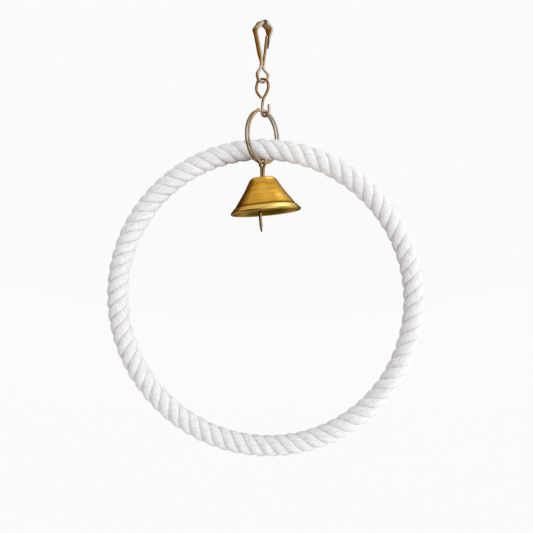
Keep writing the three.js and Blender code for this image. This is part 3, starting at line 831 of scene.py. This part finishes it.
# %% The hoop in the rope
wire, tree, shader = new_finish("drawn_wire", Metallic=1.0)
place = add(tree, "ShaderNodeTexCoord").outputs["Object"]
lines = noise(tree, place, 500.0, 2.0)
tree.links.new(ramp(tree, lines, (0.3, (0.42, 0.41, 0.40)), (0.7, (0.6, 0.59, 0.58))), shader.inputs["Base Color"])
tree.links.new(math_node(tree, "MULTIPLY_ADD", lines, 0.3, 0.25), shader.inputs["Roughness"])
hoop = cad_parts["core_hoop"]
hoop.data.materials.clear()
hoop.data.materials.append(wire)
print("hoop:", len(hoop.data.polygons), "faces")

# %% [markdown]
# ## The stage
# The swing hangs over a pale floor that rises all round into a pale wall, so no horizon shows from any side. The
# paper glows evenly, so that it is as pale from every side. It is left out of the mirror in the metal, which would
# otherwise be white all over and lose its shape.

# %% The stage
FLOOR, ROOM, TOP, BEND_RADIUS, ROOM_SIDES = -440, 2600, 2400, 700, 64
PAPER_GLOW = 0.953

quarter = np.linspace(0, math.pi / 2, 14)
corner = [(ROOM - BEND_RADIUS * (1 - math.sin(a)), FLOOR + BEND_RADIUS * (1 - math.cos(a))) for a in quarter]
dome_foot = FLOOR + BEND_RADIUS
dome = [(ROOM * math.cos(a), dome_foot + TOP * math.sin(a)) for a in quarter[1:-1]]
room_profile = np.array([(5, FLOOR), (600, FLOOR), *corner, *dome, (5, dome_foot + TOP)])
turn = np.linspace(0, 2 * math.pi, ROOM_SIDES, endpoint=False)
room_rings = [[(r * math.cos(t), r * math.sin(t), z) for r, z in room_profile] for t in turn]
rows = len(room_profile)
wall = [face for face in ring_faces(ROOM_SIDES, rows, True) if max(face[:2]) - min(face[:2]) == 1]
ends = [tuple(range(first, ROOM_SIDES * rows, rows)) for first in (0, rows - 1)]
room = mesh_object("pale_room", np.reshape(room_rings, (-1, 3)), wall + ends)
print("room faces:", len(room.data.polygons))

# %% Its paper
paper, tree, shader = new_finish(
    "pale_paper", Roughness=1.0, Specular_IOR_Level=0.0, Emission_Color=(1, 1, 1, 1), Emission_Strength=PAPER_GLOW)
fleck = add(tree, "ShaderNodeTexNoise", Scale=40.0, Detail=2.0).outputs["Fac"]
paper_grey = ramp(tree, fleck, (0.0, (0.006, 0.006, 0.006)), (1.0, (0.01, 0.01, 0.01)))
tree.links.new(paper_grey, shader.inputs["Base Color"])
room.data.materials.append(paper)
room.visible_glossy = room.visible_diffuse = room.visible_shadow = False
print("room radius", ROOM, "mm")

# %% [markdown]
# ## The light
# White cotton and mirror-bright metal want different things. Cotton shows where the light falls from: here from the
# front and the right, with little from the left. Metal shows what stands round it. So nine large soft lamps light
# the cotton and stay out of the mirror, and the world's colours are the room that the metal mirrors: white in front
# and to the right, tan above with one bright window, and brown to the left and behind.

# %% The room in the mirror
world = bpy.data.worlds.new("warm_room")
world.use_nodes = True
world.cycles_visibility.diffuse = False
bpy.context.scene.world = world
tree = world.node_tree
direction = add(tree, "ShaderNodeTexCoord").outputs["Generated"]
to_right, to_back, to_top = add(tree, "ShaderNodeSeparateXYZ", Vector=direction).outputs
print("world:", world.name)


def panel(value, low, high):
    """From 0 to 1 as a direction turns towards one side of the room."""
    soft = {"interpolation_type": "SMOOTHSTEP"}
    return add(tree, "ShaderNodeMapRange", soft, Value=value, From_Min=low, From_Max=high).outputs[0]


# %% Its walls, from the left by way of the front, the right and the back
WINDOW = (0.3, 0.35, 0.89)

round_room = math_node(tree, "MULTIPLY_ADD", math_node(tree, "ARCTAN2", to_back, to_right), 0.5 / math.pi, 0.5)
room_colour = ramp(
    tree, round_room, (0.0, (0.42, 0.17, 0.016)), (0.03, (0.16, 0.07, 0.012)), (0.08, (0.06, 0.026, 0.007)),
    (0.16, (0.09, 0.042, 0.012)), (0.2, (0.3, 0.17, 0.07)), (0.23, (0.95, 0.90, 0.84)), (0.34, (1.05, 1.03, 1.0)),
    (0.41, (0.55, 0.5, 0.46)), (0.47, (0.88, 0.87, 0.87)), (0.55, (0.82, 0.75, 0.67)),
    (0.585, (0.48, 0.35, 0.22)), (0.61, (0.07, 0.034, 0.01)), (0.85, (0.06, 0.027, 0.008)),
    (0.93, (0.2, 0.08, 0.012)), (0.98, (0.42, 0.17, 0.016)))
low_back = math_node(tree, "MULTIPLY", panel(to_top, -0.15, -0.5), panel(to_back, 0.0, 0.5))
facing = {"operation": "DOT_PRODUCT"}
window = add(tree, "ShaderNodeVectorMath", facing, i0=direction, i1=WINDOW).outputs["Value"]
high = math_node(tree, "MULTIPLY_ADD", to_right, 0.2, to_top)
for colour, share in (
    ((0.15, 0.115, 0.055), panel(to_top, -0.35, -0.7)), ((0.46, 0.33, 0.18), low_back),
    ((0.78, 0.62, 0.42), panel(high, 0.4, 0.66)), ((0.84, 0.72, 0.52), panel(to_top, 0.85, 1.0)),
    ((2.3, 2.2, 2.0), panel(window, 0.945, 0.985)),
):
    room_colour = mix(tree, share, room_colour, (*colour, 1))
things = ramp(tree, noise(tree, direction, 2.4, 3.0), (0.35, (0.72, 0.69, 0.66)), (0.62, (1.0, 1.0, 1.0)))
room_colour = mix(tree, 1.0, room_colour, things, "MULTIPLY")
tree.links.new(room_colour, tree.nodes["Background"].inputs["Color"])
print("room nodes:", len(tree.nodes))


# %% The lamps
LAMP_DISTANCE = 2.3
LAMP_AIM = np.array([0, 0, -0.2])


def soft_lamp(name, side, width, strength, colour):
    """A large lamp on one side of the swing. Its strength is the brightness of white card that faces it."""
    data = bpy.data.lights.new(name, "AREA")
    data.size, data.color = width, colour
    data.energy = strength * (math.pi * LAMP_DISTANCE) ** 2
    lamp = bpy.data.objects.new(name, data)
    side = np.array(side) / np.linalg.norm(side)
    lamp.location = LAMP_AIM + LAMP_DISTANCE * side
    lamp.rotation_euler = (math.acos(side[2]), 0, math.atan2(side[0], -side[1]))
    lamp.visible_glossy = False
    bpy.context.scene.collection.objects.link(lamp)


for name, side, width, strength, colour in (
    ("front", (0, -1, 0.05), 1.6, 0.37, (1, 0.96, 1)),
    ("front_left", (-0.7, -0.7, 0), 1.6, 0.35, (1, 0.99, 0.97)),
    ("front_right", (0.7, -0.7, 0.1), 0.9, 0.20, (0.92, 1, 1)),
    ("right", (1, -0.1, 0.1), 1.6, 0.64, (1, 0.99, 0.97)),
    ("upper_right", (0.55, -0.6, 0.6), 0.9, 0.17, (0.95, 0.97, 1)),
    ("top", (0, 0.1, 1), 1.6, 0.41, (0.88, 0.92, 1)),
    ("left", (-1, -0.1, 0), 1.6, 0.13, (1, 0.93, 0.88)),
    ("below", (0.3, -0.1, -0.9), 1.6, 0.58, (1, 0.98, 0.97)),
    ("behind", (0, 1, 0.15), 1.6, 0.5, (1, 1, 1)),
):
    soft_lamp(name, side, width, strength, colour)
bpy.context.scene.view_settings.view_transform = "Standard"
